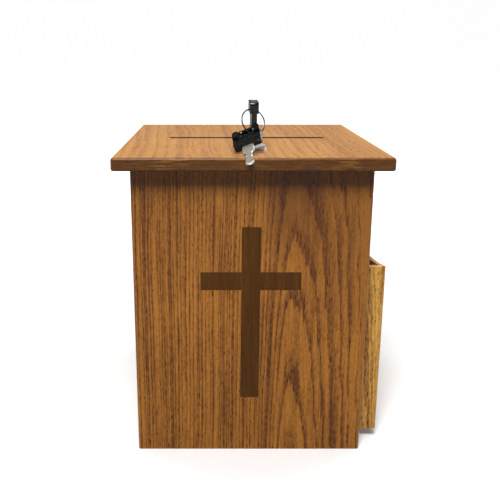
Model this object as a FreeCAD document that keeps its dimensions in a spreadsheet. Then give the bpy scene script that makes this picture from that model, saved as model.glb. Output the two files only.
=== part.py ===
import FreeCAD, Part
import math
import os
import re

import Sketcher

Vector = FreeCAD.Vector
Rotation = FreeCAD.Rotation

# Driving dimensions, in millimetres and degrees. X is to the right, Y to the back and Z up. The
# origin is the middle of the box's underside.
DIMENSIONS = {
    # Box
    "board": 12,
    "box_width": 216,
    "box_depth": 230,
    "box_height": 280,
    "box_edge_round": 2.5,
    # Lid
    "lid_width": 245,
    "lid_thick": 12,
    "lid_overhang": 14.5,
    "lid_round": 3,
    "lid_under_round": 2,
    "money_slot_length": 162,
    "money_slot_width": 10,
    "money_slot_place": -3,
    "money_slot_ease": 1,
    # Cross let into the front
    "cross_height": 170,
    "cross_width": 92.5,
    "cross_bar": 17.5,
    "cross_foot": 56.7,
    "cross_arm_rise": 118.4,
    "cross_thick": 1.2,
    # Dowels
    "dowel_radius": 3,
    "dowel_length": 24,
    "dowel_in_face": 8,
    "dowel_low": 40,
    "dowel_middle": 140,
    "dowel_high": 240,
    "bottom_dowel_place": 60,
    # Leaflet pocket on the right side
    "pocket_length": 193,
    "pocket_projection": 20.5,
    "pocket_low": 10,
    "pocket_high": 183,
    "pocket_scoop": 12,
    "pocket_panel": 4,
    "pocket_end": 6,
    "pocket_end_drop": 0.8,
    "pocket_corner_round": 2.5,
    "pocket_screw_low": 60,
    "pocket_screw_high": 160,
    # Butt hinges at the back
    "hinge_place": 65,
    "hinge_length": 40,
    "hinge_leaf": 10,
    "hinge_thick": 1.2,
    "hinge_radius": 2.6,
    "hinge_stand": 2.8,
    "hinge_pin_radius": 1.3,
    "hinge_pin_gap": 0.05,
    "hinge_knuckle_gap": 0.2,
    "hinge_screw_place": 12,
    "hinge_screw_inset": 5,
    # Lock in the lid
    "lock_x": 2.5,
    "lock_y": -74,
    "lock_flange_radius": 13,
    "lock_flange": 2.7,
    "lock_flange_ease": 1,
    "lock_barrel_radius": 8,
    "lock_barrel_low": 272,
    "lock_hole_radius": 8.1,
    "lock_bore_radius": 5.55,
    "lock_seat_radius": 6.85,
    "lock_seat": 1.3,
    "plug_radius": 5.5,
    "plug_head_radius": 6.8,
    "plug_head": 1.2,
    "plug_low": 270,
    "plug_tail_side": 6,
    "keyway_width": 2.2,
    "keyway_length": 7.9,
    "keyway_low": 276,
    "nut_across_flats": 22,
    "nut_thick": 4,
    "cam_thick": 2,
    "cam_reach": 27,
    "cam_back": 8,
    "cam_half_width": 6,
    "cam_corner_round": 5,
    "washer_radius": 5,
    "washer_thick": 0.8,
    "washer_hole_radius": 2.1,
    "strike_width": 28,
    "strike_thick": 1.5,
    "strike_high": 272.5,
    "strike_drop": 20,
    "strike_reach": 10,
    "strike_screw_place": 8,
    "strike_screw_high": 258,
    # Keys
    "key_thick": 2,
    "key_blade_half": 3.75,
    "key_blade_length": 20.5,
    "key_first_cut": 4,
    "key_cut_spacing": 3,
    "key_cut_flat": 0.6,
    "key_cut_1": 1.5,
    "key_cut_2": 0.9,
    "key_cut_3": 1.7,
    "key_cut_4": 0.8,
    "key_tip_half": 1.2,
    "key_tip_taper": 2.2,
    "key_neck_half": 5.25,
    "key_neck": 10.5,
    "key_tang_half": 4,
    "key_tang": 10,
    "key_head_width": 26,
    "key_head_length": 27,
    "key_head_thick": 5.3,
    "key_head_round": 3.5,
    "key_lobe_thick": 8.2,
    "key_lobe_length": 11,
    "key_lobe_width": 5.1,
    "key_slot_length": 13,
    "key_slot_width": 6.6,
    "key_slot_drop": 6.05,
    "key_slot_ease": 1.2,
    "key_panel_length": 12,
    "key_panel_width": 19,
    "key_panel_low": 2.6,
    "key_panel_depth": 0.4,
    "key_lift": 3.6,
    # Split ring, and the spare key on it
    "ring_radius": 11.8,
    "ring_wire_radius": 0.6,
    "ring_x": 1.9,
    "ring_y": -84.2,
    "ring_z": 317.8,
    "ring_lean": 27.4,
    "ring_turn": 26.2,
    "spare_x": -3.7,
    "spare_y": -122.05,
    "spare_z": 296.16,
    "spare_turn": 1,
    "spare_tilt": 20.03,
    "spare_roll": -24.4,
}

# Wood screws and one machine screw: shank radius, length, head radius, head depth and rim, tip length.
SCREWS = {
    "hinge_box_screw": (1.5, 16, 2.8, 1.8, 0.25, 3),
    "hinge_lid_screw": (1.5, 9.5, 2.8, 1.8, 0.25, 2.5),
    "pocket_screw": (1.75, 26, 3.6, 2.4, 0.3, 4),
    "strike_screw": (1.4, 9, 2.7, 1.4, 0.25, 2.5),
    "cam_screw": (2, 8.5, 3.5, 2.5, 2.5, 0.5),
}
SCREW_SIZES = ("shank", "length", "head", "head_depth", "rim", "tip")
RECESS_DEPTH = 1.1

doc = FreeCAD.newDocument("donation_box")
sheet = doc.addObject("Spreadsheet::Sheet", "Dimensions")


def fill_sheet(values):
    """Every driving dimension is one row: its name, and its value in a cell with an alias."""
    for row, (name, size) in enumerate(values.items(), start=1):
        sheet.set(f"A{row}", name.replace("_", " "))
        sheet.set(f"B{row}", str(size))
        sheet.setAlias(f"B{row}", name)
    doc.recompute()


for screw_name, sizes in SCREWS.items():
    DIMENSIONS.update({f"{screw_name}_{part}": size for part, size in zip(SCREW_SIZES, sizes)})
DIMENSIONS["recess_depth"] = RECESS_DEPTH
fill_sheet(DIMENSIONS)


# Helpers -------------------------------------------------------------------------------------------


def bound(formula):
    """A formula in plain dimension names, as an expression that reads the sheet."""
    return re.sub(r"\b[a-z]\w*\b(?!\()", lambda found: f"Dimensions.{found.group()}", str(formula))


def bind(item, **formulas):
    """Binds properties of a document object to formulas."""
    for name, formula in formulas.items():
        item.setExpression(name, bound(formula))
    return item


def place(item, corner, rotation=None):
    """Puts an object at a point given by three formulas, turned by a rotation."""
    if rotation is not None:
        item.Placement = FreeCAD.Placement(Vector(0, 0, 0), rotation)
    for axis, formula in zip("xyz", corner):
        item.setExpression(f"Placement.Base.{axis}", bound(formula))
    return item


def block(name, low, size):
    """A rectangular block from its lowest corner and its three sizes."""
    item = doc.addObject("Part::Box", name)
    bind(item, Length=size[0], Width=size[1], Height=size[2])
    return place(item, low)


def rod(name, radius, length, start, direction=(0, 0, 1)):
    """A cylinder that runs from a start point along a direction."""
    item = doc.addObject("Part::Cylinder", name)
    bind(item, Radius=radius, Height=length)
    return place(item, start, Rotation(Vector(0, 0, 1), Vector(*direction)))


def group(label, items):
    """Several separate solids that share one node."""
    item = doc.addObject("Part::Compound", label)
    item.Links = items
    return item


def fuse(name, items):
    """Solids joined into one."""
    item = doc.addObject("Part::MultiFuse", name)
    item.Shapes = items
    item.Refine = True
    return item


def cut(label, base, tools):
    """A solid less the pieces that are let into it."""
    item = doc.addObject("Part::Cut", label)
    item.Base = base
    item.Tool = tools[0] if len(tools) == 1 else group(f"{label}_tools", tools)
    return item


def body(name, corner=("0", "0", "0"), rotation=None):
    """A PartDesign body at a place."""
    return place(doc.addObject("PartDesign::Body", name), corner, rotation)


def sketch(owner, name, role):
    """A sketch on one of the body's origin planes."""
    item = owner.newObject("Sketcher::SketchObject", name)
    plane = next(feature for feature in owner.Origin.OriginFeatures if feature.Role == role)
    item.AttachmentSupport = [(plane, "")]
    item.MapMode = "FlatFace"
    return item


def constrain(item, kind, geometry, point, formula):
    """A distance from the sketch's axes, bound to a formula."""
    index = item.addConstraint(Sketcher.Constraint(kind, geometry, point, 0.0))
    item.setExpression(f"Constraints[{index}]", bound(formula))


def value(formula):
    """A formula's value, for a sketch's first drawing."""
    return float(sheet.evalExpression(bound(formula)))


def polygon(owner, name, role, corners):
    """A closed outline of straight sides, each corner a pair of formulas."""
    item = sketch(owner, name, role)
    points = [Vector(value(x), value(y), 0) for x, y in corners]
    count = len(points)
    for index in range(count):
        item.addGeometry(Part.LineSegment(points[index], points[(index + 1) % count]))
    for index in range(count):
        item.addConstraint(Sketcher.Constraint("Coincident", index, 2, (index + 1) % count, 1))
    for index, (x, y) in enumerate(corners):
        constrain(item, "DistanceX", index, 1, x)
        constrain(item, "DistanceY", index, 1, y)
    return item


def rectangle(owner, name, role, low, high):
    """A rectangle between two opposite corners."""
    return polygon(owner, name, role, [low, (high[0], low[1]), high, (low[0], high[1])])


def circle(owner, name, role, radius, centre=("0", "0")):
    """A circle with a bound radius and centre."""
    item = sketch(owner, name, role)
    point = Vector(value(centre[0]), value(centre[1]), 0)
    item.addGeometry(Part.Circle(point, Vector(0, 0, 1), value(radius)))
    index = item.addConstraint(Sketcher.Constraint("Radius", 0, value(radius)))
    item.setExpression(f"Constraints[{index}]", bound(radius))
    constrain(item, "DistanceX", 0, 3, centre[0])
    constrain(item, "DistanceY", 0, 3, centre[1])
    return item


def long_hole(owner, name, role, length, width, centre):
    """A slot with round ends along the sketch's first axis."""
    item = sketch(owner, name, role)
    x, y = value(centre[0]), value(centre[1])
    radius = value(width) / 2
    reach = value(length) / 2 - radius
    turn = math.pi / 2
    right = Part.Circle(Vector(x + reach, y, 0), Vector(0, 0, 1), radius)
    left = Part.Circle(Vector(x - reach, y, 0), Vector(0, 0, 1), radius)
    item.addGeometry(Part.LineSegment(Vector(x - reach, y - radius, 0), Vector(x + reach, y - radius, 0)))
    item.addGeometry(Part.ArcOfCircle(right, -turn, turn))
    item.addGeometry(Part.LineSegment(Vector(x + reach, y + radius, 0), Vector(x - reach, y + radius, 0)))
    item.addGeometry(Part.ArcOfCircle(left, turn, 3 * turn))
    for index in range(4):
        item.addConstraint(Sketcher.Constraint("Tangent", index, 2, (index + 1) % 4, 1))
    item.addConstraint(Sketcher.Constraint("Horizontal", 0))
    index = item.addConstraint(Sketcher.Constraint("Radius", 1, radius))
    item.setExpression(f"Constraints[{index}]", bound(f"{width} / 2"))
    constrain(item, "DistanceX", 1, 3, f"{centre[0]} + ({length} - {width}) / 2")
    constrain(item, "DistanceX", 3, 3, f"{centre[0]} - ({length} - {width}) / 2")
    constrain(item, "DistanceY", 1, 3, centre[1])
    constrain(item, "DistanceY", 3, 3, centre[1])
    return item


def plus_outline(bar, left, right, low, arm, high):
    """The twelve corners of a cross: an upright of one bar's width, and an arm of the same width."""
    side = f"({bar}) / 2"
    return [
        (f"-{side}", low), (side, low),
        (side, f"{arm} - {side}"), (right, f"{arm} - {side}"),
        (right, f"{arm} + {side}"), (side, f"{arm} + {side}"),
        (side, high), (f"-{side}", high),
        (f"-{side}", f"{arm} + {side}"), (left, f"{arm} + {side}"),
        (left, f"{arm} - {side}"), (f"-{side}", f"{arm} - {side}"),
    ]


def feature(owner, kind, name, profile, **formulas):
    """A feature made from a sketch, which becomes the body's tip."""
    item = owner.newObject(f"PartDesign::{kind}", name)
    item.Profile = profile
    bind(item, **formulas)
    owner.Tip = item
    return item


def pad(owner, name, profile, length, both_ways=False):
    """The profile grown along its plane's normal, or half to each side."""
    item = feature(owner, "Pad", name, profile, Length=length)
    item.Midplane = both_ways
    return item


def pocket(owner, name, profile, depth=None, both_ways=False, reverse=False):
    """The profile cut into the solid, to a depth or right through it."""
    item = feature(owner, "Pocket", name, profile)
    item.Midplane = both_ways
    item.Reversed = reverse
    if depth is None:
        item.Type = "ThroughAll"
    else:
        bind(item, Length=depth)
    return item


def turned(owner, name, corners):
    """A solid of revolution about Z from corners given as radius and height."""
    profile = polygon(owner, f"{name}_profile", "XZ_Plane", corners)
    item = feature(owner, "Revolution", name, profile)
    item.ReferenceAxis = (profile, ["V_Axis"])
    item.Angle = 360
    return item


def ease(owner, name, kind, amount, chosen):
    """Rounds or bevels the edges of the body that a test chooses."""
    doc.recompute()
    base = owner.Tip
    numbered = enumerate(base.Shape.Edges, start=1)
    names = [f"Edge{index}" for index, edge in numbered if chosen(edge.BoundBox)]
    item = owner.newObject(f"PartDesign::{kind}", name)
    item.Base = (base, names)
    bind(item, **{"Radius" if kind == "Fillet" else "Size": amount})
    owner.Tip = item
    return item


def near(first, second):
    """True where two lengths are the same."""
    return abs(first - second) < 1e-4


def upright(box):
    """True for an edge's box that runs along Z only."""
    return box.ZLength > 1 and box.XLength < 1e-4 and box.YLength < 1e-4


def screw(kind, name, point, direction):
    """One screw: its head's face is at the point, and its shank runs along the direction. The blank,
    without its driving recess, is what the pieces round it are bored for."""
    rotation = Rotation(Vector(0, 0, -1), Vector(*direction))
    head, shank = f"{kind}_head", f"{kind}_shank"
    corners = [
        ("0", "0"),
        (head, "0"),
        (head, f"-{kind}_rim"),
        (shank, f"-{kind}_head_depth"),
        (shank, f"{kind}_tip - {kind}_length"),
        (f"{shank} / 4", f"-{kind}_length"),
        ("0", f"-{kind}_length"),
    ]
    blank = body(f"{name}_blank", point, rotation)
    turned(blank, f"{name}_turned", corners)
    reach = f"{head} * 0.6"
    outline = plus_outline(f"{head} * 0.22", f"-{reach}", reach, f"-{reach}", "0", reach)
    driver = body(f"{name}_driver", point, rotation)
    plus = feature(driver, "Pad", f"{name}_pad", polygon(driver, f"{name}_plus", "XY_Plane", outline))
    bind(plus, Length="recess_depth")
    plus.Reversed = True
    return blank, cut(name, blank, [driver])


def screw_set(kind, name, points, direction):
    """Screws of one kind at several points: their blanks, and the screws."""
    numbered = enumerate(points, start=1)
    pairs = [screw(kind, f"{name}_{index}", point, direction) for index, point in numbered]
    return [blank for blank, _ in pairs], [finished for _, finished in pairs]


# Box -----------------------------------------------------------------------------------------------

HALF_WIDTH = "box_width / 2"
HALF_DEPTH = "box_depth / 2"
INNER_WIDTH = "(box_width / 2 - board)"
INNER_DEPTH = "(box_depth / 2 - board)"


def end_board(name, front):
    """The front or back board, whose two outer upright edges are rounded."""
    item = body(name)
    near_side, far_side = INNER_DEPTH, HALF_DEPTH
    if front:
        near_side, far_side = "-" + HALF_DEPTH, "-" + INNER_DEPTH
    low, high = ("-" + HALF_WIDTH, near_side), (HALF_WIDTH, far_side)
    pad(item, f"{name}_pad", rectangle(item, f"{name}_outline", "XY_Plane", low, high), "box_height")
    outer = value(near_side if front else far_side)
    ease(
        item,
        f"{name}_round",
        "Fillet",
        "box_edge_round",
        lambda box: upright(box) and near(box.YMin, outer),
    )
    return item


def dowel_rows():
    """Dowels from the front and back boards into the edges of the side boards."""
    middle = "(box_width / 2 - board / 2)"
    start = "(box_depth / 2 - board + dowel_in_face)"
    rods = []
    for end, direction in (("-", 1), ("", -1)):
        for side in ("-", ""):
            for height in ("dowel_low", "dowel_middle", "dowel_high"):
                point = (side + middle, end + start, height)
                name = f"corner_dowel_{len(rods) + 1}"
                rods.append(rod(name, "dowel_radius", "dowel_length", point, (0, direction, 0)))
    return rods


def bottom_dowel_rows():
    """Dowels from all four walls into the edges of the bottom."""
    rods = []
    for side, direction in (("-", 1), ("", -1)):
        across_x = f"{side}(box_width / 2 - board + dowel_in_face)"
        across_y = f"{side}(box_depth / 2 - board + dowel_in_face)"
        for other in ("-", ""):
            along = other + "bottom_dowel_place"
            from_side = ((across_x, along, "board / 2"), (direction, 0, 0))
            from_end = ((along, across_y, "board / 2"), (0, direction, 0))
            for point, way in (from_side, from_end):
                name = f"bottom_dowel_{len(rods) + 1}"
                rods.append(rod(name, "dowel_radius", "dowel_length", point, way))
    return rods


corner_dowels = group("corner_dowels", dowel_rows())
bottom_dowels = group("bottom_dowels", bottom_dowel_rows())

cross_inlay = body("cross_inlay", ("0", "cross_thick - box_depth / 2", "cross_foot"))
cross_corners = plus_outline(
    "cross_bar", "-cross_width / 2", "cross_width / 2", "0", "cross_arm_rise", "cross_height"
)
cross_outline = polygon(cross_inlay, "cross_outline", "XZ_Plane", cross_corners)
pad(cross_inlay, "cross_pad", cross_outline, "cross_thick")


# Hinges --------------------------------------------------------------------------------------------

KNUCKLES = 5
AXIS_Y = "(box_depth / 2 + hinge_stand)"


def knuckle_span(centre, index):
    """Where one knuckle starts along X, and how long it is."""
    start = f"{centre} - hinge_length / 2 + {index} * hinge_length / {KNUCKLES} + hinge_knuckle_gap / 2"
    return start, f"hinge_length / {KNUCKLES} - hinge_knuckle_gap"


def hinge_leaf(name, centre, low, knuckles):
    """A leaf: its plate, the tabs that reach the axis, and the knuckles round it, bored for the pin."""
    plate_low = (f"{centre} - hinge_length / 2", "box_depth / 2 - hinge_leaf", low)
    parts = [block(f"{name}_plate", plate_low, ("hinge_length", "hinge_leaf", "hinge_thick"))]
    for index in knuckles:
        start, length = knuckle_span(centre, index)
        tab_low = (start, "box_depth / 2", low)
        parts.append(block(f"{name}_tab_{index}", tab_low, (length, "hinge_stand", "hinge_thick")))
        point = (start, AXIS_Y, "box_height")
        parts.append(rod(f"{name}_knuckle_{index}", "hinge_radius", length, point, (1, 0, 0)))
    bore_start = (f"{centre} - hinge_length / 2", AXIS_Y, "box_height")
    bore = rod(f"{name}_bore", "hinge_pin_radius + hinge_pin_gap", "hinge_length", bore_start, (1, 0, 0))
    return fuse(f"{name}_solid", parts), bore


def hinge_screws(kind, centre, name, direction):
    """The two screws of one leaf."""
    place_y = "box_depth / 2 - hinge_leaf + hinge_screw_inset"
    points = [(f"{centre} {sign} hinge_screw_place", place_y, "box_height") for sign in "-+"]
    return screw_set(kind, name, points, direction)


hinge_nodes = []
box_leaves, lid_leaves = [], []
box_blanks, box_fixings, lid_blanks, lid_fixings = [], [], [], []
for side, centre in (("left", "-hinge_place"), ("right", "hinge_place")):
    blanks, fixings = hinge_screws("hinge_box_screw", centre, f"hinge_{side}_box_screw", (0, 0, -1))
    box_blanks += blanks
    box_fixings += fixings
    solid, bore = hinge_leaf(f"hinge_{side}_box", centre, "box_height - hinge_thick", (0, 2, 4))
    box_leaves.append(cut(f"hinge_{side}_box_leaf", solid, [bore] + blanks))
    blanks, fixings = hinge_screws("hinge_lid_screw", centre, f"hinge_{side}_lid_screw", (0, 0, 1))
    lid_blanks += blanks
    lid_fixings += fixings
    solid, bore = hinge_leaf(f"hinge_{side}_lid", centre, "box_height", (1, 3))
    lid_leaves.append(cut(f"hinge_{side}_lid_leaf", solid, [bore] + blanks))
    pin_start = (f"{centre} - hinge_length / 2", AXIS_Y, "box_height")
    hinge_nodes.append(rod(f"hinge_{side}_pin", "hinge_pin_radius", "hinge_length", pin_start, (1, 0, 0)))
hinge_nodes += box_leaves + lid_leaves
hinge_nodes.append(group("hinge_box_screws", box_fixings))
hinge_nodes.append(group("hinge_lid_screws", lid_fixings))


# Lock ----------------------------------------------------------------------------------------------

LID_LOW = "box_height"
LID_HIGH = "(box_height + lid_thick)"
LOCK_TOP = "(box_height + lid_thick + lock_flange)"
LOCK_PLACE = ("lock_x", "lock_y", "0")

lock_housing = body("lock_housing", LOCK_PLACE)
turned(
    lock_housing,
    "housing_turned",
    [
        ("lock_bore_radius", "lock_barrel_low"),
        ("lock_barrel_radius", "lock_barrel_low"),
        ("lock_barrel_radius", LID_HIGH),
        ("lock_flange_radius", LID_HIGH),
        ("lock_flange_radius", f"{LOCK_TOP} - lock_flange_ease"),
        ("lock_flange_radius - lock_flange_ease", LOCK_TOP),
        ("lock_seat_radius", LOCK_TOP),
        ("lock_seat_radius", f"{LOCK_TOP} - lock_seat"),
        ("lock_bore_radius", f"{LOCK_TOP} - lock_seat"),
    ],
)

nut_start = ("lock_x", "lock_y", "box_height - nut_thick")
nut_blank = bind(
    doc.addObject("Part::Prism", "nut_blank"), Circumradius="nut_across_flats / sqrt(3)", Height="nut_thick"
)
place(nut_blank, nut_start)
lock_nut = cut("lock_nut", nut_blank, [rod("nut_hole", "lock_barrel_radius", "nut_thick", nut_start)])

cam_low = "(plug_low - cam_thick)"
cam_screw_low = f"{cam_low} - washer_thick - cam_screw_head_depth"
cam_screw_blank, cam_screw = screw("cam_screw", "cam_screw", ("lock_x", "lock_y", cam_screw_low), (0, 0, 1))

plug_body = body("plug_body", LOCK_PLACE)
turned(
    plug_body,
    "plug_turned",
    [
        ("0", "plug_low"),
        ("plug_radius", "plug_low"),
        ("plug_radius", f"{LOCK_TOP} - plug_head"),
        ("plug_head_radius", f"{LOCK_TOP} - plug_head"),
        ("plug_head_radius", LOCK_TOP),
        ("0", LOCK_TOP),
    ],
)
tail = body("plug_tail", ("lock_x", "lock_y", cam_low))
tail_low, tail_high = ("-plug_tail_side / 2",) * 2, ("plug_tail_side / 2",) * 2
tail_outline = rectangle(tail, "tail_outline", "XY_Plane", tail_low, tail_high)
pad(tail, "tail_pad", tail_outline, "cam_thick")
keyway_low = ("lock_x - keyway_width / 2", "lock_y - keyway_length / 2", "keyway_low")
keyway = block("keyway", keyway_low, ("keyway_width", "keyway_length", f"{LOCK_TOP} - keyway_low"))
lock_plug = cut("lock_plug", fuse("plug_with_tail", [plug_body, tail]), [keyway, cam_screw_blank])

cam_body = body("cam_body", ("lock_x", "lock_y", cam_low))
cam_outline = rectangle(
    cam_body, "cam_outline", "XY_Plane", ("-cam_back", "-cam_half_width"), ("cam_reach", "cam_half_width")
)
pad(cam_body, "cam_pad", cam_outline, "cam_thick")
ease(cam_body, "cam_round", "Fillet", "cam_corner_round", upright)
lock_cam = cut("lock_cam", cam_body, [tail])

washer_start = ("lock_x", "lock_y", f"{cam_low} - washer_thick")
washer_blank = rod("washer_blank", "washer_radius", "washer_thick", washer_start)
washer_hole = rod("washer_hole", "washer_hole_radius", "washer_thick", washer_start)
cam_washer = cut("cam_washer", washer_blank, [washer_hole])

# The plate on the front board that the cam turns under
strike_body = body("strike_body", ("0", f"-{INNER_DEPTH}", "strike_high"))
strike_outline = [
    ("0", "0"),
    ("0", "-strike_drop"),
    ("strike_thick", "-strike_drop"),
    ("strike_thick", "-strike_thick"),
    ("strike_reach", "-strike_thick"),
    ("strike_reach", "0"),
]
strike_profile = polygon(strike_body, "strike_profile", "YZ_Plane", strike_outline)
pad(strike_body, "strike_pad", strike_profile, "strike_width", both_ways=True)
strike_face = f"strike_thick - {INNER_DEPTH}"
strike_points = [
    (sign + "strike_screw_place", strike_face, "strike_screw_high") for sign in ("-", "")
]
strike_blanks, strike_fixings = screw_set("strike_screw", "strike_screw", strike_points, (0, -1, 0))
strike_plate = cut("strike_plate", strike_body, strike_blanks)
strike_screws = group("strike_screws", strike_fixings)


# Keys and ring -------------------------------------------------------------------------------------

CUTS = 4


def key_outline():
    """Half of the key's metal from the tip to the top of its tang: the bitting, neck and tang."""
    points = [("key_tip_half", "-key_blade_length")]
    for index in range(CUTS, 0, -1):
        middle = f"key_first_cut + {index - 1} * key_cut_spacing"
        half = f"key_blade_half - key_cut_{index}"
        if index == CUTS:
            points.append(("key_blade_half", "key_tip_taper - key_blade_length"))
        points.append((half, f"-({middle}) - key_cut_flat"))
        points.append((half, f"-({middle}) + key_cut_flat"))
    points += [("key_blade_half", "-key_cut_flat"), ("key_blade_half", "0"), ("key_neck_half", "0")]
    points += [("key_neck_half", "key_neck"), ("key_tang_half", "key_neck")]
    points.append(("key_tang_half", "key_neck + key_tang"))
    return points


def make_key(prefix, corner, rotation):
    """A key's metal and its moulded head. The shoulder is at the corner, above the blade."""
    blade = body(f"{prefix}_blade", corner, rotation)
    half = key_outline()
    outline = half + [(f"-({x})", y) for x, y in reversed(half)]
    profile = polygon(blade, f"{prefix}_metal_outline", "YZ_Plane", outline)
    pad(blade, f"{prefix}_metal", profile, "key_thick", both_ways=True)

    head = body(f"{prefix}_moulding", corner, rotation)
    side = "key_head_width / 2"
    top = "(key_neck + key_head_length)"
    plate = rectangle(head, f"{prefix}_plate_outline", "YZ_Plane", (f"-{side}", "key_neck"), (side, top))
    pad(head, f"{prefix}_plate", plate, "key_head_thick", True)
    inner = f"({side} - key_lobe_width)"
    for name, low, high in (("left", f"-{side}", f"-{inner}"), ("right", inner, side)):
        corners = ((low, f"{top} - key_lobe_length"), (high, top))
        lobe = rectangle(head, f"{prefix}_{name}_lobe_outline", "YZ_Plane", *corners)
        pad(head, f"{prefix}_{name}_lobe", lobe, "key_lobe_thick", True)
    edge_place = value(side)
    ease(
        head,
        f"{prefix}_corners",
        "Fillet",
        "key_head_round",
        lambda box: box.XLength > edge_place / 4 and box.YLength < 1e-4 and near(abs(box.YMin), edge_place),
    )
    hole_place = ("0", f"{top} - key_slot_drop")
    hole = long_hole(head, f"{prefix}_slot", "YZ_Plane", "key_slot_length", "key_slot_width", hole_place)
    pocket(head, f"{prefix}_slot_cut", hole, both_ways=True)
    reach = value("key_slot_length") / 2
    middle = value(hole_place[1])
    ease(
        head,
        f"{prefix}_slot_mouths",
        "Chamfer",
        "key_slot_ease",
        lambda box: box.XLength < 1e-4 and box.YMax < reach + 1e-3 and box.YMin > -reach - 1e-3
        and abs((box.ZMin + box.ZMax) / 2 - middle) < reach,
    )
    for name, sign in (("face", ""), ("back", "-")):
        low = ("-key_panel_width / 2", "key_neck + key_panel_low")
        high = ("key_panel_width / 2", "key_neck + key_panel_low + key_panel_length")
        panel = rectangle(head, f"{prefix}_{name}_panel", "YZ_Plane", low, high)
        panel.setExpression("AttachmentOffset.Base.z", bound(f"{sign}key_head_thick / 2"))
        pocket(head, f"{prefix}_{name}_recess", panel, "key_panel_depth", reverse=sign == "-")
    return blade, cut(f"{prefix}_head", head, [blade])


LYING = Rotation(Vector(1, 1, 1), -120)
spare_rotation = (
    Rotation(Vector(0, 0, 1), sheet.spare_turn)
    * Rotation(Vector(1, 0, 0), sheet.spare_tilt)
    * Rotation(Vector(0, 1, 0), sheet.spare_roll)
    * LYING
)
key_blade, key_head = make_key("key", ("lock_x", "lock_y", f"{LOCK_TOP} + key_lift"), None)
spare_blade, spare_head = make_key("spare_key", ("spare_x", "spare_y", "spare_z"), spare_rotation)

key_ring = doc.addObject("Part::Torus", "key_ring")
bind(key_ring, Radius1="ring_radius", Radius2="ring_wire_radius")
ring_rotation = (
    Rotation(Vector(1, 0, 0), -sheet.ring_lean)
    * Rotation(Vector(0, 0, 1), sheet.ring_turn)
    * Rotation(Vector(1, 0, 0), 90)
)
place(key_ring, ("ring_x", "ring_y", "ring_z"), ring_rotation)


# Leaflet pocket ------------------------------------------------------------------------------------

POCKET_FACE = "(box_width / 2)"
POCKET_INNER = "(pocket_projection - pocket_panel)"
HALF_POCKET = "pocket_length / 2"

pocket_sheet = body("pocket_sheet", (f"{POCKET_FACE} + {POCKET_INNER}", "0", "0"))
pocket_corners = (f"-{HALF_POCKET}", "pocket_low"), (HALF_POCKET, "pocket_high")
pocket_outline = rectangle(pocket_sheet, "pocket_outline", "YZ_Plane", *pocket_corners)
pad(pocket_sheet, "pocket_pad", pocket_outline, "pocket_panel")
outer_face = value("pocket_panel")
pocket_top = value("pocket_high")
ease(
    pocket_sheet,
    "pocket_round",
    "Fillet",
    "pocket_corner_round",
    lambda box: near(box.XMin, outer_face) and box.ZMin < pocket_top - 1,
)
scoop_radius = "((pocket_length ^ 2 / 4 + pocket_scoop ^ 2) / (2 * pocket_scoop))"
scoop_start = (POCKET_FACE, "0", f"pocket_high - pocket_scoop + {scoop_radius}")
scoop = rod("pocket_scoop", scoop_radius, "pocket_projection * 2", scoop_start, (1, 0, 0))
pocket_outer_panel = cut("pocket_outer_panel", pocket_sheet, [scoop])

pocket_end_size = (POCKET_INNER, "pocket_end", "pocket_high - pocket_end_drop - pocket_low")
pocket_front_blank = block(
    "pocket_front_blank", (POCKET_FACE, f"-{HALF_POCKET}", "pocket_low"), pocket_end_size
)
pocket_rear_blank = block(
    "pocket_rear_blank", (POCKET_FACE, f"{HALF_POCKET} - pocket_end", "pocket_low"), pocket_end_size
)
pocket_floor = block(
    "pocket_floor",
    (POCKET_FACE, f"pocket_end - {HALF_POCKET}", "pocket_low"),
    (POCKET_INNER, "pocket_length - 2 * pocket_end", "pocket_end"),
)
pocket_points = [
    (INNER_WIDTH, f"{sign}({HALF_POCKET} - pocket_end / 2)", height)
    for sign in ("-", "")
    for height in ("pocket_screw_low", "pocket_screw_high")
]
pocket_blanks, pocket_fixings = screw_set("pocket_screw", "pocket_screw", pocket_points, (1, 0, 0))
pocket_screws = group("pocket_screws", pocket_fixings)
pocket_front_end = cut("pocket_front_end", pocket_front_blank, pocket_blanks)
pocket_rear_end = cut("pocket_rear_end", pocket_rear_blank, pocket_blanks)


# Walls, bottom and lid, less what is let into them -------------------------------------------------

side_size = ("board", f"2 * {INNER_DEPTH}", "box_height")
left_blank = block("left_blank", (f"-{HALF_WIDTH}", f"-{INNER_DEPTH}", "0"), side_size)
right_blank = block("right_blank", (INNER_WIDTH, f"-{INNER_DEPTH}", "0"), side_size)
bottom_size = (f"2 * {INNER_WIDTH}", f"2 * {INNER_DEPTH}", "board")
bottom_blank = block("bottom_blank", (f"-{INNER_WIDTH}", f"-{INNER_DEPTH}", "0"), bottom_size)
front_tools = [cross_inlay, corner_dowels, bottom_dowels] + strike_blanks
front_panel = cut("front_panel", end_board("front_board", True), front_tools)
back_tools = box_leaves + box_blanks + [corner_dowels, bottom_dowels]
back_panel = cut("back_panel", end_board("back_board", False), back_tools)
left_panel = cut("left_panel", left_blank, [corner_dowels, bottom_dowels])
right_panel = cut("right_panel", right_blank, [corner_dowels, bottom_dowels] + pocket_blanks)
bottom_panel = cut("bottom_panel", bottom_blank, [bottom_dowels])


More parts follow.
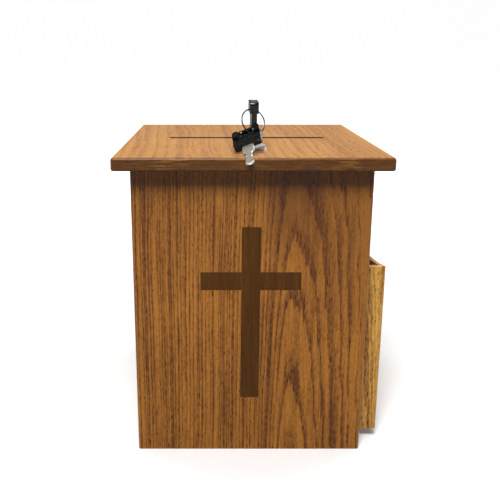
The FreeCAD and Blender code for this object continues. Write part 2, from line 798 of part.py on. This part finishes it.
def make_lid():
    """The lid board, rounded all round its top, with the money slot and the lock's hole."""
    item = body("lid_body", ("0", "0", LID_LOW))
    front = "-(box_depth / 2 + lid_overhang)"
    corners = ("-lid_width / 2", front), ("lid_width / 2", HALF_DEPTH)
    outline = rectangle(item, "lid_outline", "XY_Plane", *corners)
    pad(item, "lid_pad", outline, "lid_thick")
    front_place, back_place, top_place = value(front), value(HALF_DEPTH), value("lid_thick")
    ease(
        item,
        "lid_corners",
        "Fillet",
        "lid_round",
        lambda box: upright(box) and near(box.YMin, front_place),
    )
    ease(item, "lid_top_round", "Fillet", "lid_round", lambda box: near(box.ZMin, top_place))
    ease(
        item,
        "lid_under_round",
        "Fillet",
        "lid_under_round",
        lambda box: near(box.ZMax, 0) and not near(box.YMin, back_place),
    )
    slot = long_hole(
        item, "money_slot", "XY_Plane", "money_slot_length", "money_slot_width", ("0", "money_slot_place")
    )
    pocket(item, "money_slot_cut", slot, reverse=True)
    low_side = value("money_slot_place - money_slot_width")
    high_side = value("money_slot_place + money_slot_width")
    ease(
        item,
        "money_slot_mouths",
        "Fillet",
        "money_slot_ease",
        lambda box: box.ZLength < 1e-4 and box.YMin > low_side and box.YMax < high_side,
    )
    lock_hole = circle(item, "lock_hole", "XY_Plane", "lock_hole_radius", ("lock_x", "lock_y"))
    pocket(item, "lock_hole_cut", lock_hole, reverse=True)
    return item


lid_board = cut("lid_board", make_lid(), lid_leaves + lid_blanks)


# Checks, and one file for each sub-part ------------------------------------------------------------

NODES = [
    front_panel,
    back_panel,
    left_panel,
    right_panel,
    bottom_panel,
    cross_inlay,
    corner_dowels,
    bottom_dowels,
    pocket_outer_panel,
    pocket_front_end,
    pocket_rear_end,
    pocket_floor,
    pocket_screws,
    *hinge_nodes,
    strike_plate,
    strike_screws,
    lid_board,
    lock_housing,
    lock_nut,
    lock_plug,
    lock_cam,
    cam_washer,
    cam_screw,
    key_blade,
    key_head,
    key_ring,
    spare_blade,
    spare_head,
]

doc.recompute()
failed = [item.Name for item in doc.Objects if {"Invalid", "Error"} & set(item.State)]
if failed:
    raise RuntimeError(f"these objects did not compute: {failed}")
loose = [item.Name for item in doc.findObjects("Sketcher::SketchObject") if not item.FullyConstrained]
if loose:
    raise RuntimeError(f"these sketches are not fully constrained: {loose}")
for node in NODES:
    if node.Shape.isNull() or not node.Shape.isValid():
        raise RuntimeError(f"{node.Label} has no valid shape")

os.makedirs("parts", exist_ok=True)
for node in NODES:
    node.Shape.exportStep(f"parts/{node.Label}.step")
    print(f"{node.Label}: {len(node.Shape.Solids)} solids, {node.Shape.Volume:.1f} mm3")
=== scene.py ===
"""A stained oak donation box on a pale floor, with a slot, a lock, its key and a spare on a split ring."""

import math

import bmesh
import bpy
from mathutils import Matrix, Vector


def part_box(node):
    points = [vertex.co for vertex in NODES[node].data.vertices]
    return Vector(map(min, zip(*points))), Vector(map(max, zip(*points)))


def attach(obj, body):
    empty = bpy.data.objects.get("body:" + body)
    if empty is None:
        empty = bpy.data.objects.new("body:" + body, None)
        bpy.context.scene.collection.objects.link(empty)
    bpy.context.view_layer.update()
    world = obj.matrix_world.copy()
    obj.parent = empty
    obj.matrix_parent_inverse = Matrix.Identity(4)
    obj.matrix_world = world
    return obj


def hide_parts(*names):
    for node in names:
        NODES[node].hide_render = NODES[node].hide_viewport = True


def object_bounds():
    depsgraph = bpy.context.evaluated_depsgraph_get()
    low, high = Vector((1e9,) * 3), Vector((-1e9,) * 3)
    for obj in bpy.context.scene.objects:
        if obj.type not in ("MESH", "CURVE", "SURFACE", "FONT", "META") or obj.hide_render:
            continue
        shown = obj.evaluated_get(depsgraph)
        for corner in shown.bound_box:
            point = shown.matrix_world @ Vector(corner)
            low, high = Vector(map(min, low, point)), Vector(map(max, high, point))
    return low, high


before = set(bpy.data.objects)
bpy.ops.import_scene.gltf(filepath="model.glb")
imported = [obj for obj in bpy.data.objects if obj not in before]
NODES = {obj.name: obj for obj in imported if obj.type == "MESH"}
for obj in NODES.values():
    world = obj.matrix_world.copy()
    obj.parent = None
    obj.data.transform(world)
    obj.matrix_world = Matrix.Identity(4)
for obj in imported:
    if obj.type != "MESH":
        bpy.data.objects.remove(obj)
cad_low, cad_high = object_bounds()
MM = 0.001


# Node trees ---------------------------------------------------------------------------------------


class Graph:
    """A material's node tree, with short ways to add nodes and link them."""

    def __init__(self, name):
        self.material = bpy.data.materials.new(name)
        self.material.use_nodes = True
        self.tree = self.material.node_tree
        self.tree.nodes.clear()
        self.surface = self.add("ShaderNodeBsdfPrincipled")
        output = self.add("ShaderNodeOutputMaterial")
        self.tree.links.new(self.surface.outputs["BSDF"], output.inputs["Surface"])
        self.place = self.add("ShaderNodeTexCoord").outputs["Object"]

    def add(self, kind, settings=None, **inputs):
        """A node with its settings, and its inputs set to values or linked to sockets."""
        node = self.tree.nodes.new(kind)
        for name, value in (settings or {}).items():
            setattr(node, name, value)
        for name, value in inputs.items():
            self.put(node.inputs[name.replace("_", " ")], value)
        return node

    def put(self, socket, value):
        """Sets a socket, or links it where the value is another node's output."""
        if isinstance(value, bpy.types.NodeSocket):
            self.tree.links.new(value, socket)
        else:
            socket.default_value = value

    def math(self, operation, *values, clamp=False):
        node = self.add("ShaderNodeMath", {"operation": operation, "use_clamp": clamp})
        for socket, value in zip(node.inputs, values):
            self.put(socket, value)
        return node.outputs[0]

    def steps(self, value, low, high):
        """0 below low and 1 above high, with a smooth step between. low may be the higher of the two."""
        node = self.add("ShaderNodeMapRange", {"interpolation_type": "SMOOTHSTEP"})
        for name, amount in (("Value", value), ("From Min", low), ("From Max", high)):
            self.put(node.inputs[name], amount)
        return node.outputs["Result"]

    def mix(self, share, first, second):
        """A colour between two."""
        node = self.add("ShaderNodeMix", {"data_type": "RGBA"})
        for index, value in ((0, share), (6, first), (7, second)):
            self.put(node.inputs[index], value)
        return node.outputs[2]

    def stretched(self, vector, sizes):
        """Coordinates divided by a size along each axis, so that one unit is one grain."""
        node = self.add("ShaderNodeVectorMath", {"operation": "DIVIDE"})
        self.put(node.inputs[0], vector)
        node.inputs[1].default_value = sizes
        return node.outputs[0]

    def noise(self, vector, detail=2.0, roughness=0.5, scale=1.0):
        texture = {"Scale": scale, "Detail": detail, "Roughness": roughness}
        node = self.add("ShaderNodeTexNoise", Vector=vector, **texture)
        return node.outputs["Fac"]

    def millimetres(self):
        """Where a point lies on the object, in millimetres."""
        node = self.add("ShaderNodeVectorMath", {"operation": "SCALE"}, Scale=1 / MM)
        self.put(node.inputs[0], self.place)
        return node.outputs[0]

    def within(self, value, low, high, soft):
        """1 between low and high, and 0 a soft edge away from them."""
        rise = self.steps(value, low - soft, low)
        return self.math("MULTIPLY", rise, self.steps(value, high + soft, high))

    def bump(self, height, strength, distance):
        node = self.add("ShaderNodeBump", Height=height, Strength=strength, Distance=distance)
        self.put(self.surface.inputs["Normal"], node.outputs[0])

    def finish(self, **inputs):
        """Sets the surface shader's inputs and returns the material."""
        for name, value in inputs.items():
            self.put(self.surface.inputs[name.replace("_", " ")], value)
        return self.material


def rgb(red, green, blue):
    """A colour given as it shows on a screen, from 0 to 255, in the renderer's linear light."""
    return tuple((channel / 255) ** 2.2 for channel in (red, green, blue)) + (1.0,)


# Oak ----------------------------------------------------------------------------------------------

AXES = "XYZ"
# How far the rings bend over a board and over a few centimetres, in millimetres, and how uneven
# the years are.
SWAY, WANDER, UNEVEN_YEARS = 14.0, 4.0, 1.6
TONE_START, TONE_MIDDLE = -0.24, 0.45
SEED_APART = (37.0, 53.0, 71.0)
# A pore's width and length in millimetres, and how far its edge lies from its middle, in pores.
LARGE_PORE, SMALL_PORE = (1.6, 8.0), (0.9, 4.2)
PORE_REACH = 0.24


class Board:
    """How one board was sawn, in millimetres: the axes that its grain, width and thickness run along,
    where the tree's heart lies under its face, how the rings climb along it, and how wide they are to
    each side."""

    def __init__(self, axes, face, heart, depth, rise=0.11, ring=8.0, squeeze=(2.2, 1.05), seed=0.0):
        self.along, self.across, self.through = axes
        self.face, self.heart, self.depth = face, heart, depth
        self.rise, self.ring, self.squeeze, self.seed = rise, ring, squeeze, seed

    def sizes(self, width, length):
        """A grain's size along X, Y and Z, for one that is width thick and length long."""
        return tuple(length if axis == self.along else width for axis in AXES)


def rings(graph, board, place):
    """Where a point lies in its year's growth: 0 in the porous early wood, rising to 1 in the late wood."""
    split = graph.add("ShaderNodeSeparateXYZ", Vector=place)
    at = dict(zip(AXES, split.outputs))
    wide = graph.math("SUBTRACT", at[board.across], board.heart)
    left, right = board.squeeze
    even = graph.math("MULTIPLY", wide, (left + right) / 2)
    skew = graph.math("MULTIPLY", graph.math("ABSOLUTE", wide), (right - left) / 2)
    sway = graph.noise(graph.stretched(place, board.sizes(50, 150)), detail=1.0)
    wander = graph.noise(graph.stretched(place, board.sizes(3.5, 34)), detail=3.0)
    sway = graph.math("MULTIPLY", graph.math("SUBTRACT", sway, 0.5), SWAY)
    wander = graph.math("MULTIPLY", graph.math("SUBTRACT", wander, 0.5), WANDER)
    wide = graph.math("ADD", graph.math("ADD", even, skew), graph.math("ADD", sway, wander))
    below = graph.math("ABSOLUTE", graph.math("SUBTRACT", at[board.through], board.face))
    climb = graph.math("MULTIPLY_ADD", at[board.along], board.rise, board.depth)
    deep = graph.math("ADD", graph.math("ADD", below, climb), wander)
    squares = graph.math("ADD", graph.math("POWER", wide, 2.0), graph.math("POWER", deep, 2.0))
    radius = graph.math("SQRT", squares)
    count = graph.math("DIVIDE", radius, board.ring)
    uneven = graph.add("ShaderNodeTexNoise", {"noise_dimensions": "1D"}, W=count, Scale=0.8, Detail=1.0)
    count = graph.math("MULTIPLY_ADD", uneven.outputs["Fac"], UNEVEN_YEARS, count)
    return graph.math("FRACT", count)


def pores(graph, board, place, width, length, reach):
    """Short dark pores along the grain. reach is how far an edge lies from the middle, in pores."""
    grains = graph.stretched(place, board.sizes(width, length))
    cells = graph.add("ShaderNodeTexVoronoi", Vector=grains, Scale=1.0)
    tint = graph.add("ShaderNodeSeparateColor", Color=cells.outputs["Color"])
    near = graph.math("SUBTRACT", reach, cells.outputs["Distance"])
    mask = graph.steps(near, 0.0, 0.14)
    return graph.math("MULTIPLY", mask, graph.math("MULTIPLY_ADD", tint.outputs["Red"], 0.6, 0.4))


def oak(name, board, light, dark, pore, contrast=1.12, rough=0.42, local=None):
    """Stained and lacquered oak: rings, pores, fibres and slow changes of tone, as a solid block."""
    graph = Graph(name)
    place = graph.millimetres()
    shift = graph.add("ShaderNodeVectorMath", {"operation": "ADD"})
    graph.put(shift.inputs[0], place)
    shift.inputs[1].default_value = tuple(board.seed * apart for apart in SEED_APART)
    moved = shift.outputs[0]

    year = rings(graph, board, place)
    early = graph.math("MAXIMUM", graph.steps(year, 0.62, 0.02), graph.steps(year, 0.9, 1.0))
    fibre = graph.noise(graph.stretched(moved, board.sizes(1.0, 26)), detail=3.0, roughness=0.6)
    streak = graph.noise(graph.stretched(moved, board.sizes(5, 150)), detail=3.0, roughness=0.6)
    fleck = graph.noise(graph.stretched(moved, board.sizes(2.2, 4.5)), detail=3.0, roughness=0.7)
    cloud = graph.noise(graph.stretched(moved, board.sizes(30, 130)), detail=2.0)
    parts = ((early, 0.5), (graph.steps(fibre, 0.36, 0.64), 0.28), (graph.steps(streak, 0.38, 0.62), 0.3))
    parts += ((graph.steps(fleck, 0.36, 0.64), 0.24), (graph.steps(cloud, 0.38, 0.62), 0.2))
    tone = TONE_START
    for value, share in parts:
        tone = graph.math("MULTIPLY_ADD", value, share, tone)
    from_middle = graph.math("SUBTRACT", tone, TONE_MIDDLE)
    tone = graph.math("MULTIPLY_ADD", from_middle, contrast, TONE_MIDDLE, clamp=True)

    reach = graph.math("MULTIPLY_ADD", early, 0.2, PORE_REACH)
    large = pores(graph, board, moved, *LARGE_PORE, reach)
    reach = graph.math("MULTIPLY_ADD", early, 0.12, PORE_REACH)
    small = pores(graph, board, moved, *SMALL_PORE, reach)
    colour = graph.mix(tone, light, dark)
    colour = graph.mix(graph.math("MULTIPLY", large, 0.78 * contrast), colour, pore)
    colour = graph.mix(graph.math("MULTIPLY", small, 0.45 * contrast), colour, pore)
    if local:
        colour = local(graph, place, colour)

    dips = graph.math("MAXIMUM", large, graph.math("MULTIPLY", small, 0.5))
    height = graph.math("SUBTRACT", graph.math("MULTIPLY", fibre, 0.25), dips)
    graph.bump(height, 0.35, 0.1 * MM)
    roughness = graph.math("MULTIPLY_ADD", fibre, 0.12, rough - 0.06)
    roughness = graph.math("MULTIPLY_ADD", dips, 0.25, roughness)
    return graph.finish(
        Base_Color=colour,
        Roughness=roughness,
        Specular_IOR_Level=0.18,
        Coat_Weight=0.12,
        Coat_Roughness=0.28,
    )


def corners(node):
    """The low and high corners of a CAD node's box, in millimetres."""
    return tuple(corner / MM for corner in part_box(node))


wall_low, wall_high = corners("front_panel")
lid_low, lid_high = corners("lid_board")
pocket_low, pocket_high = corners("pocket_outer_panel")
SLOT_X, SLOT_Y = (-81.5, 81.5), (-8.6, 2.6)
RUBS_X = ((-80, -62), (74, 88))

WALL_LIGHT, WALL_DARK, WALL_PORE = rgb(192, 125, 54), rgb(104, 58, 22), rgb(46, 22, 9)
LID_LIGHT, LID_DARK, LID_PORE = rgb(192, 132, 54), rgb(150, 96, 36), rgb(96, 56, 22)
POCKET_LIGHT, POCKET_DARK = rgb(244, 186, 96), rgb(166, 108, 50)
HEARTWOOD = rgb(84, 45, 19)


def lid_details(graph, place, colour):
    """The lid's front and back edges, where the ends of the fibres have taken up more stain, and its
    slot, whose walls are stained end grain made near-black with painted shade. The front edge has a
    few paler rubs near its ends, and the top a darker wedge of heartwood towards the right."""
    x, y, z = graph.add("ShaderNodeSeparateXYZ", Vector=place).outputs
    slope = graph.math("MULTIPLY_ADD", y, 0.55, x)
    wedge = graph.math("MULTIPLY", graph.steps(slope, 42, 58), graph.steps(slope, 130, 62))
    colour = graph.mix(graph.math("MULTIPLY", wedge, 0.22), colour, LID_DARK)

    front = graph.steps(y, lid_low.y + 3.0, lid_low.y + 0.4)
    back = graph.steps(y, lid_high.y - 0.8, lid_high.y - 0.1)
    # The slot's walls: stained end grain, made near-black with painted shade.
    across = graph.math("MULTIPLY", graph.within(x, *SLOT_X, 0.1), graph.within(y, *SLOT_Y, 0.1))
    slot_stain_and_shade = graph.math("MULTIPLY", across, graph.steps(z, lid_high.z - 0.05, lid_high.z - 0.5))
    ends = graph.math("MAXIMUM", front, back)
    streaks = graph.noise(graph.stretched(place, (13, 4, 1.5)), detail=3.0, roughness=0.65)
    soaked = graph.mix(graph.steps(streaks, 0.4, 0.62), rgb(74, 42, 14), rgb(98, 60, 22))
    colour = graph.mix(graph.math("MULTIPLY", ends, 0.96), colour, soaked)
    for low, high in RUBS_X:
        rub = graph.math("MULTIPLY", graph.within(x, low, high, 10), graph.steps(streaks, 0.47, 0.56))
        rub = graph.math("MULTIPLY", graph.math("MULTIPLY", rub, front), 0.3)
        colour = graph.mix(rub, colour, rgb(168, 118, 58))
    return graph.mix(slot_stain_and_shade, colour, rgb(34, 17, 7))


def front_details(graph, place, colour):
    """The front board: a darker heartwood cloud near the top beside the heart, darker towards the upper
    right, painted shade under the lid, and arrises that handling has rubbed paler, which also carry a
    painted highlight."""
    x, y, z = graph.add("ShaderNodeSeparateXYZ", Vector=place).outputs
    beside = graph.within(x, 22, 52, 16)
    cloud = graph.math("MULTIPLY", beside, graph.steps(z, 170, 262))
    colour = graph.mix(graph.math("MULTIPLY", cloud, 0.55), colour, HEARTWOOD)
    # Darker towards the upper right.
    corner = graph.math("MULTIPLY", graph.steps(x, 45, 80), graph.steps(z, 90, 220))
    colour = graph.mix(graph.math("MULTIPLY", corner, 0.3), colour, HEARTWOOD)
    # Painted shade under the lid: the board darkens towards its top, mixed with the pore colour.
    painted_lid_shade = graph.steps(z, 150, 275)
    colour = graph.mix(graph.math("MULTIPLY", painted_lid_shade, 0.2), colour, WALL_PORE)
    patchy = graph.noise(graph.stretched(place, (4, 4, 18)), detail=2.0)
    right = graph.steps(x, wall_high.x - 1.2, wall_high.x - 0.4)
    left = graph.steps(x, wall_low.x + 0.8, wall_low.x + 0.2)
    face = graph.steps(y, wall_low.y + 1.4, wall_low.y + 0.6)
    arris = graph.math("MULTIPLY", graph.math("MAXIMUM", right, left), face)
    # Paler arrises: rubbed wear, and also a painted highlight on the rounded edges.
    rubbed_and_highlit = graph.math("MULTIPLY", arris, graph.steps(patchy, 0.3, 0.6))
    return graph.mix(rubbed_and_highlit, colour, rgb(186, 144, 100))


def make_oaks():
    """One oak for each board, so that no two show the same grain."""
    walls = {"light": WALL_LIGHT, "dark": WALL_DARK, "pore": WALL_PORE}
    pocket = {"light": POCKET_LIGHT, "dark": POCKET_DARK, "pore": WALL_PORE}
    lid = {"light": LID_LIGHT, "dark": LID_DARK, "pore": LID_PORE}
    back = corners("back_panel")[1].y
    left = corners("left_panel")[0].x
    right = corners("right_panel")[1].x
    floor = corners("bottom_panel")[1].z
    end = corners("pocket_front_end")[0].y
    boards = {
        "front_panel": (Board("ZXY", wall_low.y, heart=38, depth=18), walls),
        "back_panel": (Board("ZXY", back, heart=-52, depth=26, seed=2.0), walls),
        "left_panel": (Board("ZYX", left, heart=64, depth=30, seed=3.0), walls),
        "right_panel": (Board("ZYX", right, heart=-30, depth=22, seed=4.0), walls),
        "bottom_panel": (Board("XYZ", floor, heart=20, depth=24, seed=5.0), walls),
        "pocket_outer_panel": (
            Board("ZYX", pocket_high.x, heart=15, depth=20, ring=7, seed=6.0),
            pocket,
        ),
        "pocket_front_end": (Board("ZXY", end, heart=60, depth=40, ring=5, seed=7.0), pocket),
        "pocket_rear_end": (Board("ZXY", -end, heart=80, depth=40, ring=5, seed=8.0), pocket),
        "pocket_floor": (Board("YXZ", pocket_low.z, heart=60, depth=40, ring=5, seed=9.0), pocket),
    }
    for node, (board, tones) in boards.items():
        local = front_details if node == "front_panel" else None
        paint(node, oak(f"oak_{node}", board, local=local, **tones))
    lid_board = Board(
        "YXZ", lid_high.z, heart=-190, depth=70, rise=0.12, ring=9, squeeze=(1, 1), seed=1.0
    )
    lid_oak = oak("oak_lid_board", lid_board, contrast=0.75, rough=0.4, local=lid_details, **lid)
    paint("lid_board", lid_oak)


def paint(node, material):
    """Gives a CAD node its material."""
    slots = NODES[node].data.materials
    slots.clear()
    slots.append(material)


def soften(node, width):
    """Takes the sharpness off a CAD node's edges, so that they catch the light as moulded ones do."""
    weld = NODES[node].modifiers.new("joined_faces", "WELD")
    weld.merge_threshold = 0.001 * MM
    bevel = NODES[node].modifiers.new("soft_edges", "BEVEL")
    bevel.width = width
    bevel.segments = 2
    bevel.limit_method = "ANGLE"
    bevel.angle_limit = math.radians(35)
    bevel.harden_normals = True


def dark_inlay():
    """The cross: dark stained wood, nearly matt, with a faint upright grain."""
    graph = Graph("dark_inlay")
    place = graph.millimetres()
    grain = graph.noise(graph.stretched(place, (1.1, 1.1, 18)), detail=3.0, roughness=0.6)
    wide = graph.noise(graph.stretched(place, (7, 7, 60)), detail=2.0)
    colour = graph.mix(graph.steps(grain, 0.32, 0.7), rgb(78, 49, 21), rgb(98, 64, 30))
    colour = graph.mix(graph.math("MULTIPLY", graph.steps(wide, 0.35, 0.65), 0.4), colour, rgb(72, 43, 17))
    graph.bump(grain, 0.2, 0.06 * MM)
    return graph.finish(Base_Color=colour, Roughness=0.62, Specular_IOR_Level=0.15)


def birch():
    """Pale dowel wood."""
    graph = Graph("birch")
    grain = graph.noise(graph.stretched(graph.millimetres(), (1.2, 1.2, 1.2)), detail=3.0)
    colour = graph.mix(grain, rgb(214, 178, 132), rgb(180, 136, 88))
    graph.bump(grain, 0.2, 0.05 * MM)
    return graph.finish(Base_Color=colour, Roughness=0.7)


# Metal and plastic --------------------------------------------------------------------------------


def metal(name, colour, rough, wear, grain):
    """Plated metal with fine scratches and faint blotches. wear is how much its roughness varies."""
    graph = Graph(name)
    place = graph.millimetres()
    scratches = graph.noise(graph.stretched(place, grain), detail=4.0, roughness=0.65)
    blotches = graph.noise(graph.stretched(place, (3.0, 3.0, 3.0)), detail=2.0)
    darker = tuple(channel * 0.72 for channel in colour[:3]) + (1.0,)
    tint = graph.mix(graph.steps(blotches, 0.35, 0.8), colour, darker)
    roughness = graph.math("MULTIPLY_ADD", scratches, wear, rough - wear / 2)
    graph.bump(scratches, 0.25, 0.02 * MM)
    return graph.finish(Base_Color=tint, Metallic=1.0, Roughness=roughness)


def black_plastic():
    """Glossy black moulding with a very fine texture and light handling marks."""
    graph = Graph("black_plastic")
    place = graph.millimetres()
    fine = graph.noise(graph.stretched(place, (0.25, 0.25, 0.25)), detail=2.0)
    marks = graph.noise(graph.stretched(place, (4.0, 4.0, 4.0)), detail=4.0, roughness=0.6)
    colour = graph.mix(graph.steps(marks, 0.4, 0.8), rgb(14, 14, 15), rgb(26, 26, 28))
    roughness = graph.math("MULTIPLY_ADD", marks, 0.2, 0.1)
    graph.bump(fine, 0.12, 0.02 * MM)
    return graph.finish(Base_Color=colour, Roughness=roughness, Specular_IOR_Level=0.3)


make_oaks()
paint("cross_inlay", dark_inlay())
dowel_wood = birch()
for node in ("corner_dowels", "bottom_dowels"):
    paint(node, dowel_wood)
EVEN = (0.6, 0.6, 0.6)
brass = metal("brass_plate", rgb(206, 172, 106), 0.32, 0.16, (5.0, 0.25, 0.25))
zinc = metal("zinc_steel", rgb(186, 188, 192), 0.36, 0.18, EVEN)
chrome = metal("lock_chrome", rgb(238, 238, 242), 0.3, 0.1, EVEN)
nickel = metal("key_nickel", rgb(224, 219, 204), 0.44, 0.16, (0.3, 0.3, 4.0))
for node in NODES:
    if node.startswith("hinge_"):
        paint(node, brass)
for node in (
    "pocket_screws",
    "strike_plate",
    "strike_screws",
    "lock_nut",
    "lock_cam",
    "cam_washer",
    "cam_screw",
):
    paint(node, zinc)
for node in ("lock_housing", "lock_plug"):
    paint(node, chrome)
for node in ("key_blade", "spare_key_blade"):
    paint(node, nickel)
plastic = black_plastic()
for node in ("key_head", "spare_key_head"):
    paint(node, plastic)
    soften(node, 0.3 * MM)
for node in ("key_blade", "spare_key_blade"):
    soften(node, 0.15 * MM)


# Split ring ---------------------------------------------------------------------------------------

RING_TURNS = 2
STEPS_A_TURN, WIRE_SIDES = 96, 12
RING_START = 0.9
# How sharply the wire crosses from one coil to the other, a tip's size as a share of the wire's, and
# how fast it grows to the full size.
CROSSING, TIP_SIZE, TIP_TAPER = 14, 0.45, 12
RING_RADIUS = 11.8 * MM
COIL_STEP = 0.56 * MM
WIRE_ACROSS, WIRE_DEEP = 0.27 * MM, 0.58 * MM
RING_LEAN, RING_SPIN = -27.4, 26.2


def split_ring():
    """A spring-steel wire wound twice round, its coils against each other and both its tips tapered."""
    low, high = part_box("key_ring")
    turn = Matrix.Rotation(math.radians(RING_LEAN), 3, "X")
    turn = turn @ Matrix.Rotation(math.radians(RING_SPIN), 3, "Z")
    turn = turn @ Matrix.Rotation(math.radians(90), 3, "X")
    shape = bmesh.new()
    loops = []
    steps = STEPS_A_TURN * RING_TURNS
    for step in range(steps + 1):
        share = step / steps
        angle = math.tau * RING_TURNS * share + RING_START
        crossing = math.tanh((share - 0.5) * CROSSING)
        taper = min(1.0, TIP_SIZE + TIP_TAPER * min(share, 1 - share))
        loop = []
        for side in range(WIRE_SIDES):
            round_wire = math.tau * side / WIRE_SIDES
            out = RING_RADIUS + WIRE_DEEP * taper * math.cos(round_wire)
            up = COIL_STEP / 2 * crossing + WIRE_ACROSS * math.sin(round_wire)
            spot = turn @ Vector((out * math.cos(angle), out * math.sin(angle), up))
            loop.append(shape.verts.new((low + high) / 2 + spot))
        loops.append(loop)
    for first, second in zip(loops, loops[1:]):
        for side in range(WIRE_SIDES):
            after = (side + 1) % WIRE_SIDES
            shape.faces.new((first[side], first[after], second[after], second[side]))
    shape.faces.new(loops[0][::-1])
    shape.faces.new(loops[-1])
    for face in shape.faces:
        face.smooth = len(face.verts) == 4
    bmesh.ops.recalc_face_normals(shape, faces=shape.faces)
    mesh = bpy.data.meshes.new("split_ring")
    shape.to_mesh(mesh)
    shape.free()
    ring = bpy.data.objects.new("split_ring", mesh)
    mesh.materials.append(metal("ring_steel", rgb(92, 92, 94), 0.34, 0.12, EVEN))
    bpy.context.scene.collection.objects.link(ring)
    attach(ring, "key_ring")
    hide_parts("key_ring")


split_ring()


# Stage --------------------------------------------------------------------------------------------

FLOOR_RADIUS = 12.0
WORLD_STRENGTH = 0.085
# A light's name, its place, the point that it faces, its width and height in metres, and its watts.
LIGHTS = (
    ("key_light", (-0.2, -1.05, 1.7), (0.0, 0.0, 0.2), 0.6, 0.6, 40.0),
    ("top_light", (0.1, 0.2, 1.7), (0.0, 0.0, 0.25), 0.9, 0.9, 7.0),
    ("back_light", (-0.1, 2.4, 1.3), (0.0, 0.0, 0.25), 3.0, 1.4, 8.0),
    ("left_fill", (-1.5, 0.9, 0.5), (0.0, 0.0, 0.15), 0.9, 0.9, 12.0),
    ("right_fill", (1.5, 0.9, 0.5), (0.0, 0.0, 0.15), 0.9, 0.9, 12.0),
)
CAMERA_PLACE, CAMERA_DIP = (-0.0305, -0.6523, 0.3814), 13.885
LENS, LENS_SHIFT = 44.87, (0.0647, -0.0931)


def pale_floor():
    """White card, which glows towards its far edge, so that it has no horizon."""
    graph = Graph("pale_floor")
    distance = graph.add("ShaderNodeVectorMath", {"operation": "LENGTH"})
    graph.put(distance.inputs[0], graph.place)
    glow = graph.math("MULTIPLY", graph.steps(distance.outputs["Value"], 0.05, 1.3), 0.97)
    specks = graph.noise(graph.place, detail=2.0, scale=12.0)
    tint = graph.mix(specks, rgb(244, 244, 244), rgb(241, 241, 242))
    return graph.finish(
        Base_Color=tint,
        Roughness=0.8,
        Emission_Color=rgb(255, 255, 255),
        Emission_Strength=glow,
    )


def white_surround():
    """The far white wall."""
    graph = Graph("white_surround")
    tint = graph.mix(graph.noise(graph.place, scale=0.3), rgb(255, 255, 255), rgb(252, 252, 252))
    return graph.finish(
        Base_Color=rgb(0, 0, 0),
        Roughness=1.0,
        Emission_Color=tint,
        Emission_Strength=1.0,
    )


def stage_object(name, shape, material):
    """A stage object from a bmesh. It is seen, but sends no diffuse light onto the box."""
    mesh = bpy.data.meshes.new(name)
    shape.to_mesh(mesh)
    shape.free()
    mesh.materials.append(material)
    item = bpy.data.objects.new(name, mesh)
    item.location.z = cad_low.z
    item.visible_diffuse = False
    bpy.context.scene.collection.objects.link(item)
    return item


def make_floor():
    """A wide round pale floor."""
    shape = bmesh.new()
    bmesh.ops.create_circle(shape, cap_ends=True, segments=96, radius=FLOOR_RADIUS)
    stage_object("floor", shape, pale_floor())


def make_surround():
    """A white dome that closes the view above the floor."""
    shape = bmesh.new()
    bmesh.ops.create_icosphere(shape, subdivisions=4, radius=FLOOR_RADIUS)
    dome = stage_object("surround", shape, white_surround())
    dome.visible_glossy = False
    dome.visible_shadow = False


def make_world():
    """An even, dim surround that softens the shadows."""
    world = bpy.data.worlds.new("surround")
    bpy.context.scene.world = world
    world.use_nodes = True
    background = world.node_tree.nodes["Background"]
    background.inputs["Color"].default_value = (1.0, 1.0, 1.0, 1.0)
    background.inputs["Strength"].default_value = WORLD_STRENGTH


def softbox(name, place, target, width, height, power):
    """A soft light that faces a target. The camera doesn't see it."""
    light = bpy.data.lights.new(name, "AREA")
    light.shape = "RECTANGLE"
    light.size, light.size_y = width, height
    light.energy = power
    item = bpy.data.objects.new(name, light)
    item.location = place
    item.rotation_euler = (Vector(target) - Vector(place)).to_track_quat("-Z", "Y").to_euler()
    item.visible_camera = False
    bpy.context.scene.collection.objects.link(item)


def make_camera():
    """The camera stands where the photograph was taken from, a little left of the box and above it."""
    lens = bpy.data.cameras.new("camera")
    lens.lens = LENS
    lens.sensor_width = 36.0
    lens.shift_x, lens.shift_y = LENS_SHIFT
    camera = bpy.data.objects.new("camera", lens)
    camera.location = CAMERA_PLACE
    camera.rotation_euler = (math.radians(90 - CAMERA_DIP), 0.0, 0.0)
    bpy.context.scene.collection.objects.link(camera)
    bpy.context.scene.camera = camera


make_floor()
make_surround()
make_world()
for light in LIGHTS:
    softbox(*light)
make_camera()
bpy.context.scene.view_settings.view_transform = "Standard"
